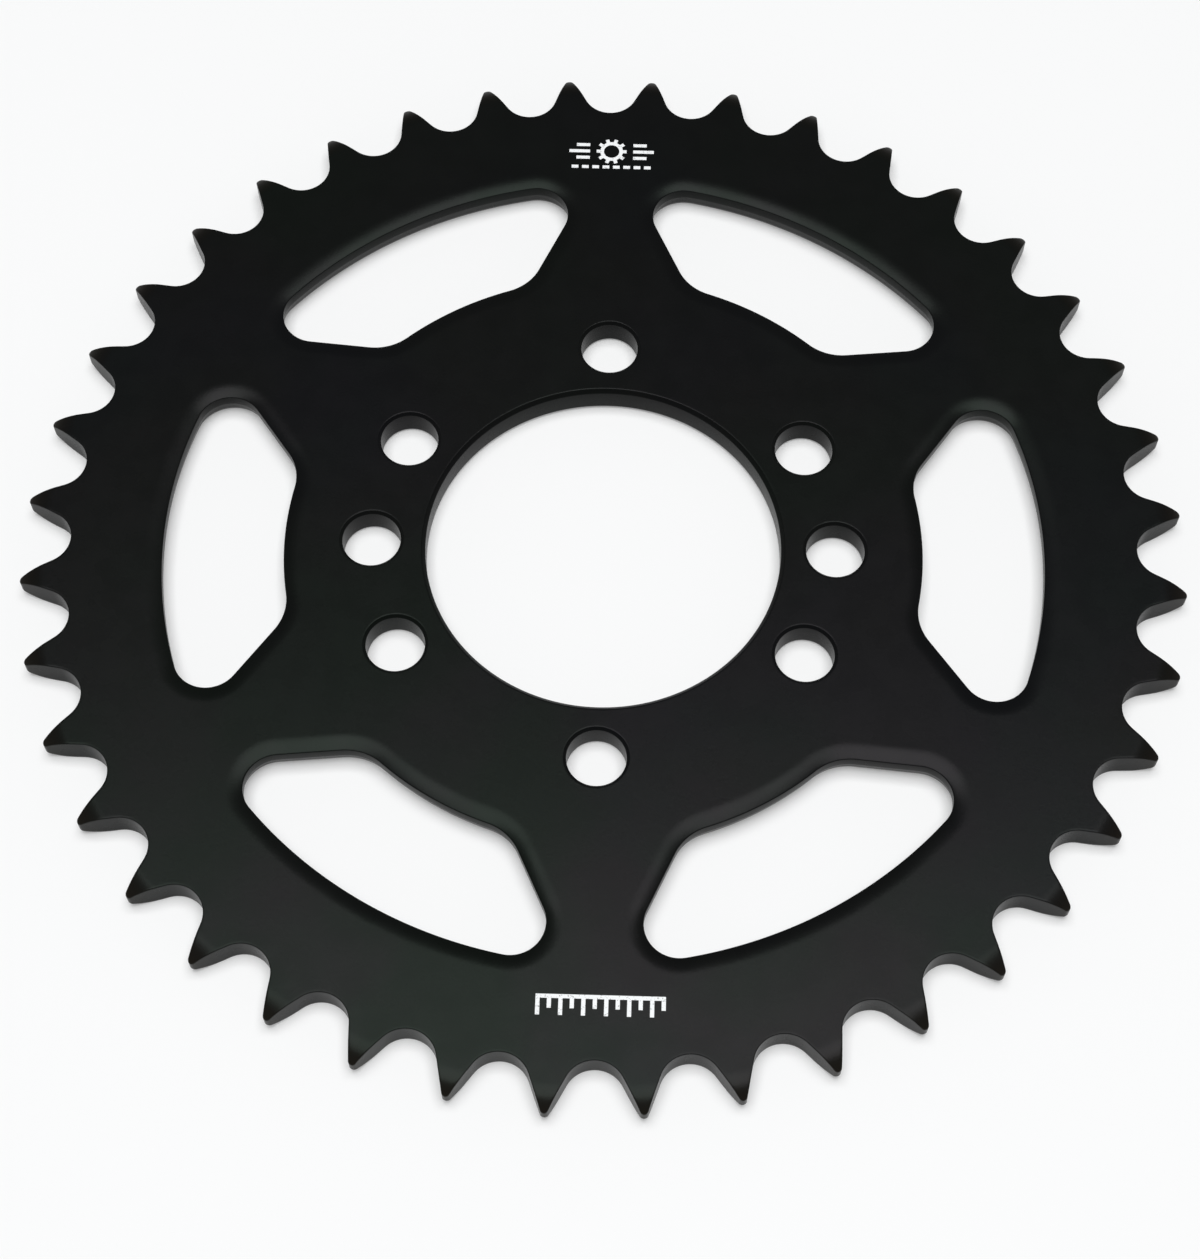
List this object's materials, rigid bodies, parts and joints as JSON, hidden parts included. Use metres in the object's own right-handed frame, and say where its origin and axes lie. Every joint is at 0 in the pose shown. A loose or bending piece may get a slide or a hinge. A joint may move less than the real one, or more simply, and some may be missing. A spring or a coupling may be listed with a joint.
{
  "type": "motorcycle rear sprocket",
  "caption": "Flat black steel rear sprocket for a roller chain, with a round hub bore, a ring of bolt holes and curved windows between its spokes.",
  "frame": {"origin": "centre of the hub bore on the back face, which is the face it lies on", "axes": "+Z along the bore's axis, out of the printed face; +Y through a bolt hole towards the upper mark"},
  "size_m": [0.2092, 0.2092, 0.0059],
  "materials": {
    "black_coating": "satin black coating on steel, finely grained",
    "white_ink": "thin matt white print"
  },
  "bodies": {
    "root": {"sprocket_plate": "black_coating", "upper_mark": "white_ink", "lower_mark": "white_ink"}
  },
  "joints": []
}
